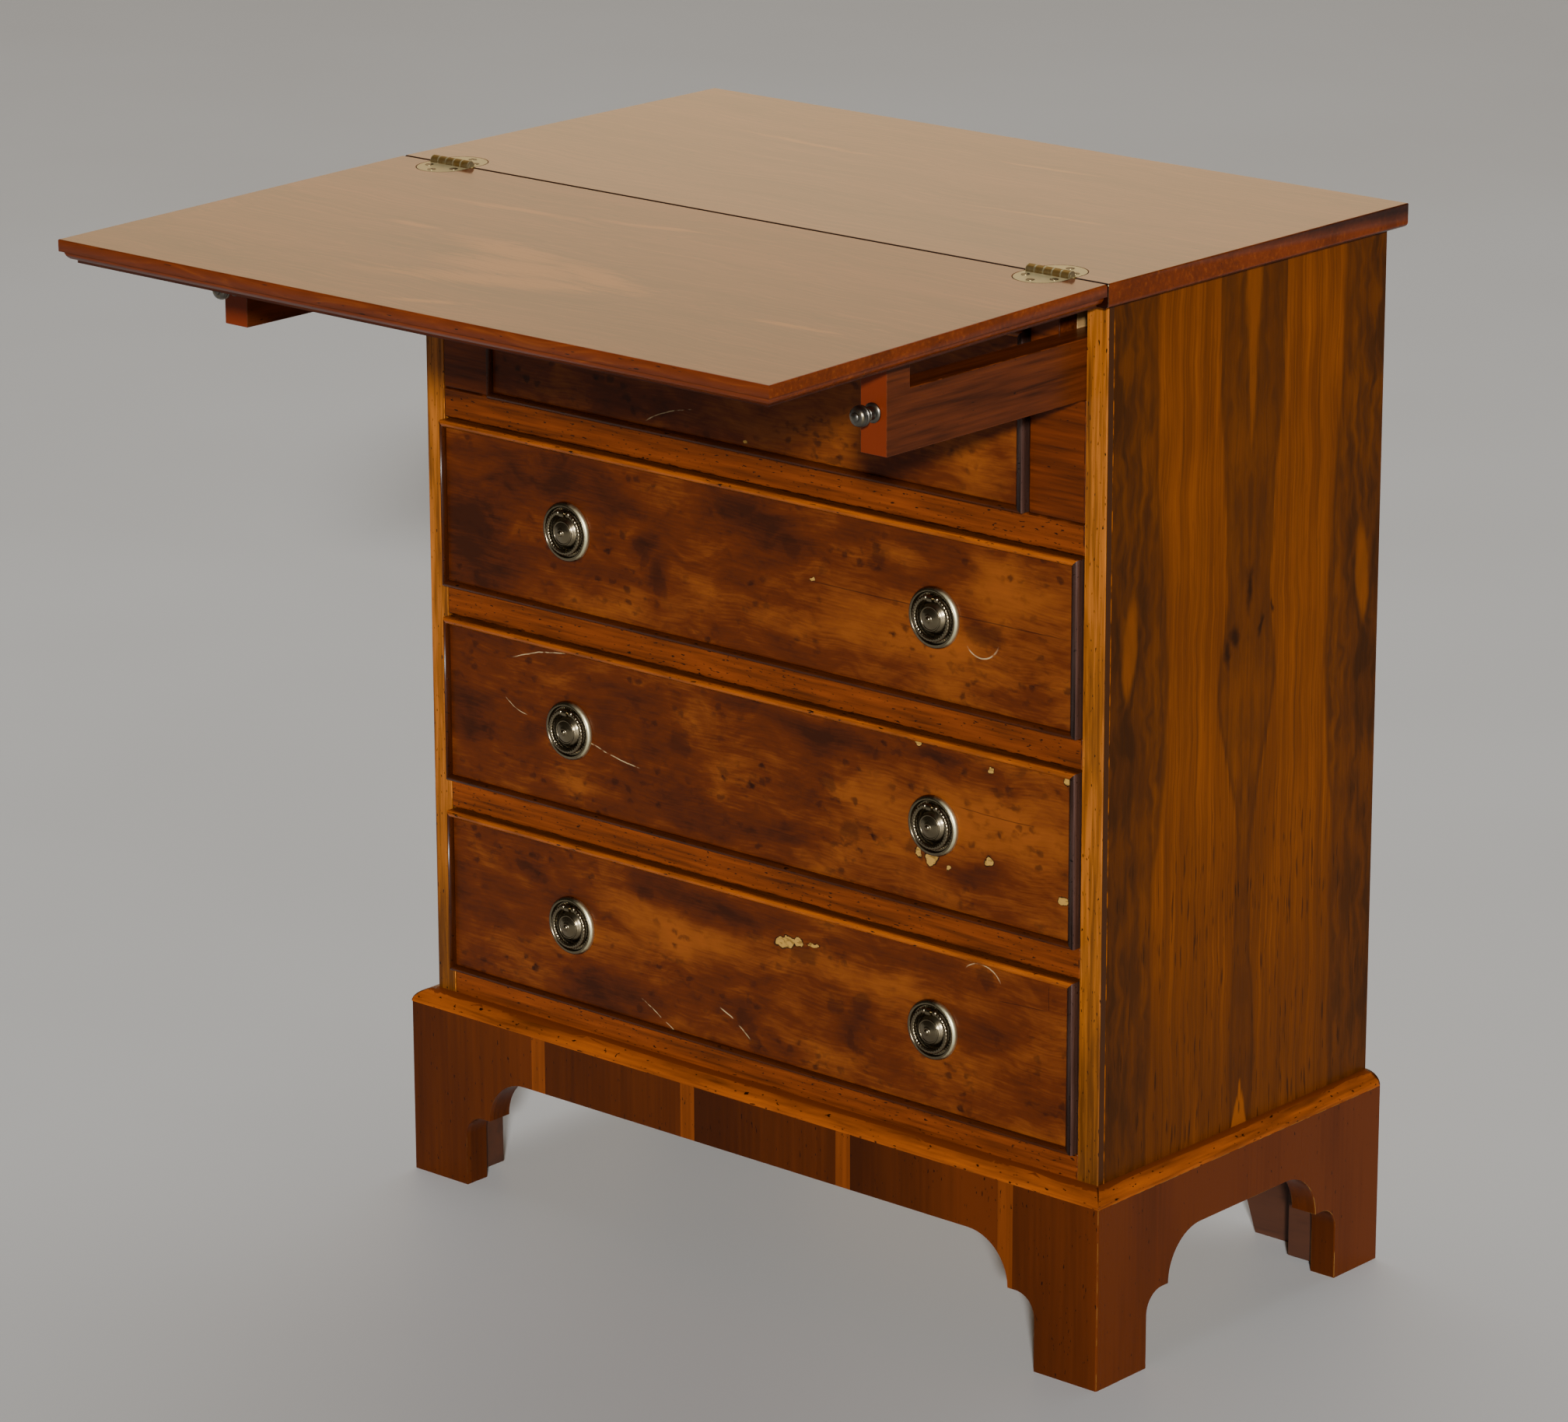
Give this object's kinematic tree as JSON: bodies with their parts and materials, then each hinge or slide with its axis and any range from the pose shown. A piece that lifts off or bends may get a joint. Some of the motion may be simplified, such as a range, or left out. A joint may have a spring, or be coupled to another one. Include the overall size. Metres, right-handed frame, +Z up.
{
  "type": "bachelor's chest",
  "caption": "Small chest of drawers with a fold-over top that opens forward onto pull-out lopers, cockbeaded drawers with ring pulls, and a bracket-foot plinth.",
  "frame": {"origin": "on the floor, centred in the width, straight below the seam between the fixed top and the open leaf", "axes": "+Z up, -Y to the front where the leaf and drawers open, +X to the right seen from the front"},
  "size_m": [0.625, 0.6359, 0.7442],
  "materials": {
    "burr_yew": "burr yew veneer, French polished, worn",
    "bead_wood": "dark stained cockbead, polished",
    "yew_side": "book-matched yew veneer, polished",
    "yew_top": "straight yew veneer, glossy polish",
    "yew_rail": "yew veneer across the rails, polished",
    "yew_lipping": "pale yew lipping, polished",
    "yew_plinth": "yew veneer on the plinth, polished",
    "loper_wood": "stained hardwood, satin",
    "pine": "bare pine and drawer linings, unfinished",
    "aged_brass": "antiqued brass, rubbed bright on the rim",
    "hinge_brass": "polished brass, tarnished on the knuckles",
    "knob_metal": "turned white metal, satin"
  },
  "bodies": {
    "carcass": {"carcass_side_left": "yew_side", "carcass_side_right": "yew_side", "front_lippings": "yew_lipping", "back_panel": "pine", "carcass_bottom": "pine", "bottom_rail": "yew_rail", "drawer_rails": "yew_rail", "top_rails": "yew_rail", "loper_surrounds": "yew_rail", "loper_guides": "pine", "drawer_runners": "pine", "drawer_stops": "pine", "top_fixed": "yew_top", "hinge_plates_fixed": "hinge_brass", "hinge_pins": "hinge_brass", "plinth_front": "yew_plinth", "plinth_side_left": "yew_plinth", "plinth_side_right": "yew_plinth", "plinth_moulding": "yew_plinth", "rear_foot_brackets": "pine", "plinth_corner_blocks": "pine"},
    "leaf": {"top_leaf": "yew_top", "hinge_plates_leaf": "hinge_brass"},
    "loper_left": {"loper_left": "loper_wood", "loper_knob_left": "knob_metal"},
    "loper_right": {"loper_right": "loper_wood", "loper_knob_right": "knob_metal"},
    "drawer_1": {"drawer_1_front": "burr_yew", "drawer_1_cockbead": "bead_wood", "drawer_1_sides": "pine", "drawer_1_back": "pine", "drawer_1_bottom": "pine", "drawer_1_pull_plates": "aged_brass"},
    "drawer_1_ring_left": {"drawer_1_ring_left": "aged_brass"},
    "drawer_1_ring_right": {"drawer_1_ring_right": "aged_brass"},
    "drawer_2": {"drawer_2_front": "burr_yew", "drawer_2_cockbead": "bead_wood", "drawer_2_sides": "pine", "drawer_2_back": "pine", "drawer_2_bottom": "pine", "drawer_2_pull_plates": "aged_brass"},
    "drawer_2_ring_left": {"drawer_2_ring_left": "aged_brass"},
    "drawer_2_ring_right": {"drawer_2_ring_right": "aged_brass"},
    "drawer_3": {"drawer_3_front": "burr_yew", "drawer_3_cockbead": "bead_wood", "drawer_3_sides": "pine", "drawer_3_back": "pine", "drawer_3_bottom": "pine", "drawer_3_pull_plates": "aged_brass"},
    "drawer_3_ring_left": {"drawer_3_ring_left": "aged_brass"},
    "drawer_3_ring_right": {"drawer_3_ring_right": "aged_brass"},
    "drawer_4": {"drawer_4_front": "burr_yew", "drawer_4_cockbead": "bead_wood", "drawer_4_sides": "pine", "drawer_4_back": "pine", "drawer_4_bottom": "pine", "drawer_4_pull_plates": "aged_brass"},
    "drawer_4_ring_left": {"drawer_4_ring_left": "aged_brass"},
    "drawer_4_ring_right": {"drawer_4_ring_right": "aged_brass"}
  },
  "joints": [
    {"name": "leaf_fold", "type": "hinge", "parent": "carcass", "child": "leaf", "pos_m": [0, 0, 0.7408], "axis": [-1, 0, 0], "range_deg": [0, 181.06]},
    {"name": "loper_left_slide", "type": "slide", "parent": "carcass", "child": "loper_left", "axis": [0, 1, 0], "range_m": [0, 0.205]},
    {"name": "loper_right_slide", "type": "slide", "parent": "carcass", "child": "loper_right", "axis": [0, 1, 0], "range_m": [0, 0.193]},
    {"name": "drawer_1_slide", "type": "slide", "parent": "carcass", "child": "drawer_1", "axis": [0, -1, 0], "range_m": [0, 0.2]},
    {"name": "drawer_1_ring_left_swing", "type": "hinge", "parent": "drawer_1", "child": "drawer_1_ring_left", "pos_m": [-0.1635, 0.0018, 0.65229], "axis": [-1, 0, 0], "range_deg": [0, 90]},
    {"name": "drawer_1_ring_right_swing", "type": "hinge", "parent": "drawer_1", "child": "drawer_1_ring_right", "pos_m": [0.1635, 0.0018, 0.65229], "axis": [-1, 0, 0], "range_deg": [0, 90]},
    {"name": "drawer_2_slide", "type": "slide", "parent": "carcass", "child": "drawer_2", "axis": [0, -1, 0], "range_m": [0, 0.2]},
    {"name": "drawer_2_ring_left_swing", "type": "hinge", "parent": "drawer_2", "child": "drawer_2_ring_left", "pos_m": [-0.1635, 0.0018, 0.51069], "axis": [-1, 0, 0], "range_deg": [0, 90]},
    {"name": "drawer_2_ring_right_swing", "type": "hinge", "parent": "drawer_2", "child": "drawer_2_ring_right", "pos_m": [0.1635, 0.0018, 0.51069], "axis": [-1, 0, 0], "range_deg": [0, 90]},
    {"name": "drawer_3_slide", "type": "slide", "parent": "carcass", "child": "drawer_3", "axis": [0, -1, 0], "range_m": [0, 0.2]},
    {"name": "drawer_3_ring_left_swing", "type": "hinge", "parent": "drawer_3", "child": "drawer_3_ring_left", "pos_m": [-0.1635, 0.0018, 0.36909], "axis": [-1, 0, 0], "range_deg": [0, 90]},
    {"name": "drawer_3_ring_right_swing", "type": "hinge", "parent": "drawer_3", "child": "drawer_3_ring_right", "pos_m": [0.1635, 0.0018, 0.36909], "axis": [-1, 0, 0], "range_deg": [0, 90]},
    {"name": "drawer_4_slide", "type": "slide", "parent": "carcass", "child": "drawer_4", "axis": [0, -1, 0], "range_m": [0, 0.2]},
    {"name": "drawer_4_ring_left_swing", "type": "hinge", "parent": "drawer_4", "child": "drawer_4_ring_left", "pos_m": [-0.1635, 0.0018, 0.22749], "axis": [-1, 0, 0], "range_deg": [0, 90]},
    {"name": "drawer_4_ring_right_swing", "type": "hinge", "parent": "drawer_4", "child": "drawer_4_ring_right", "pos_m": [0.1635, 0.0018, 0.22749], "axis": [-1, 0, 0], "range_deg": [0, 90]}
  ]
}
